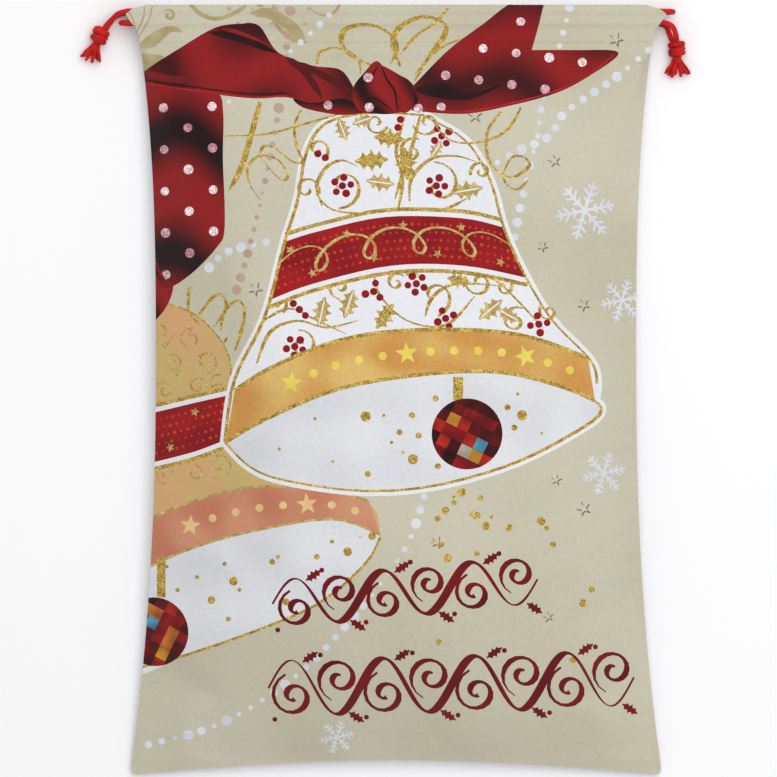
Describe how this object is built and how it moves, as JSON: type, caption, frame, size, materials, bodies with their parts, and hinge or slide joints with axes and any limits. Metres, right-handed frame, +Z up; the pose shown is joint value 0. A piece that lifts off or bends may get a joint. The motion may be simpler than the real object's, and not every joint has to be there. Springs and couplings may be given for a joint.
{
  "type": "fabric gift sack",
  "caption": "Flat cloth sack with a festive printed front, open at the mouth, with a drawstring channel round the mouth and opposed drawstrings that end in knots and frayed tails.",
  "frame": {"origin": "under the middle of the sack, on the surface that its back lies on", "axes": "+X to the right across the printed face, +Y from the base seam to the mouth, +Z up out of the printed face"},
  "size_m": [0.5545, 0.694, 0.094],
  "materials": {
    "printed_cloth": "plain-weave canvas, printed, matte",
    "plain_cloth": "plain-weave canvas, unprinted, matte",
    "seam_cloth": "overlocked canvas edge, matte",
    "thread": "twisted polyester thread, slight sheen",
    "drawstring": "soft braided cord, matte"
  },
  "bodies": {
    "sack": {"front_panel": "printed_cloth", "back_panel": "plain_cloth", "front_casing": "printed_cloth", "back_casing": "plain_cloth", "front_casing_stitching": "thread", "back_casing_stitching": "thread", "left_side_seam": "seam_cloth", "right_side_seam": "seam_cloth", "bottom_seam": "seam_cloth", "left_bartack": "thread", "right_bartack": "thread"},
    "left_drawstring": {"left_cord": "drawstring", "left_knot": "drawstring", "left_tassel": "drawstring"},
    "right_drawstring": {"right_cord": "drawstring", "right_knot": "drawstring", "right_tassel": "drawstring"}
  },
  "joints": [
    {"name": "left_drawstring_pull", "type": "slide", "parent": "sack", "child": "left_drawstring", "axis": [-1, 0, 0], "range_m": [0, 0.12], "deforming": ["front_casing", "back_casing", "front_casing_stitching", "back_casing_stitching"]},
    {"name": "right_drawstring_pull", "type": "slide", "parent": "sack", "child": "right_drawstring", "axis": [1, 0, 0], "range_m": [0, 0.12], "deforming": ["front_casing", "back_casing", "front_casing_stitching", "back_casing_stitching"]}
  ]
}
